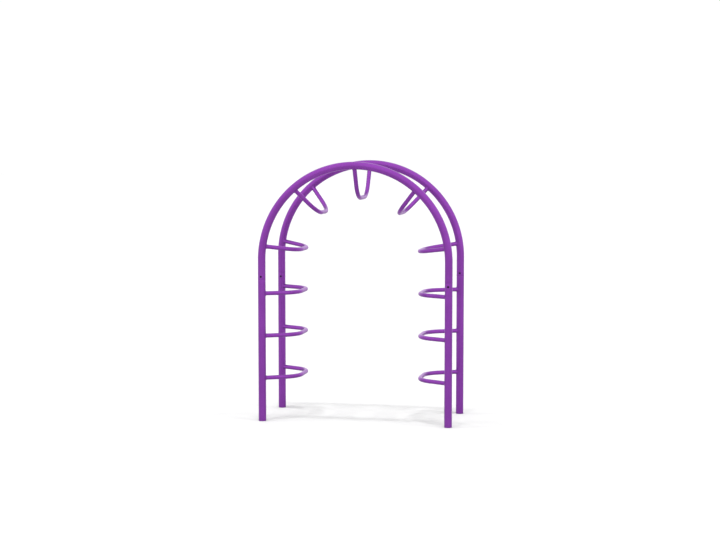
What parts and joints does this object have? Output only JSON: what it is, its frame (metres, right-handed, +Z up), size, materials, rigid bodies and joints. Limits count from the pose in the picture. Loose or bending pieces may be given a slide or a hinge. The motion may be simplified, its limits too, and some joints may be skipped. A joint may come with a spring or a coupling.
{
  "type": "arch climber",
  "caption": "Playground arch climber: parallel bent tube rails on straight legs, joined by inward-facing U-shaped loop rungs for hands and feet.",
  "frame": {"origin": "on the ground, in the middle of the four legs", "axes": "+X across the span from the left legs to the right legs, +Y from the front rail to the rear rail, +Z up"},
  "size_m": [1.5404, 0.7044, 2.045],
  "materials": {
    "rail_paint": "semi-gloss purple powder coat on the rail tubes",
    "loop_paint": "semi-gloss purple powder coat on the loop tubes",
    "weld_paint": "the same powder coat over rippled weld beads",
    "sleeve_steel": "galvanised steel tube, hidden inside the rails",
    "bolt_steel": "black-oxide steel button-head bolt",
    "nut_steel": "black-oxide steel cap nut"
  },
  "bodies": {
    "root": {"front_arch": "rail_paint", "front_left_leg": "rail_paint", "front_right_leg": "rail_paint", "rear_arch": "rail_paint", "rear_left_leg": "rail_paint", "rear_right_leg": "rail_paint", "front_left_sleeve": "sleeve_steel", "front_right_sleeve": "sleeve_steel", "rear_left_sleeve": "sleeve_steel", "rear_right_sleeve": "sleeve_steel", "left_loop_1": "loop_paint", "left_loop_2": "loop_paint", "left_loop_3": "loop_paint", "left_loop_4": "loop_paint", "left_loop_5": "loop_paint", "right_loop_1": "loop_paint", "right_loop_2": "loop_paint", "right_loop_3": "loop_paint", "right_loop_4": "loop_paint", "right_loop_5": "loop_paint", "crown_loop": "loop_paint", "weld_beads": "weld_paint", "splice_bolts": "bolt_steel", "cap_nuts": "nut_steel"}
  },
  "joints": []
}
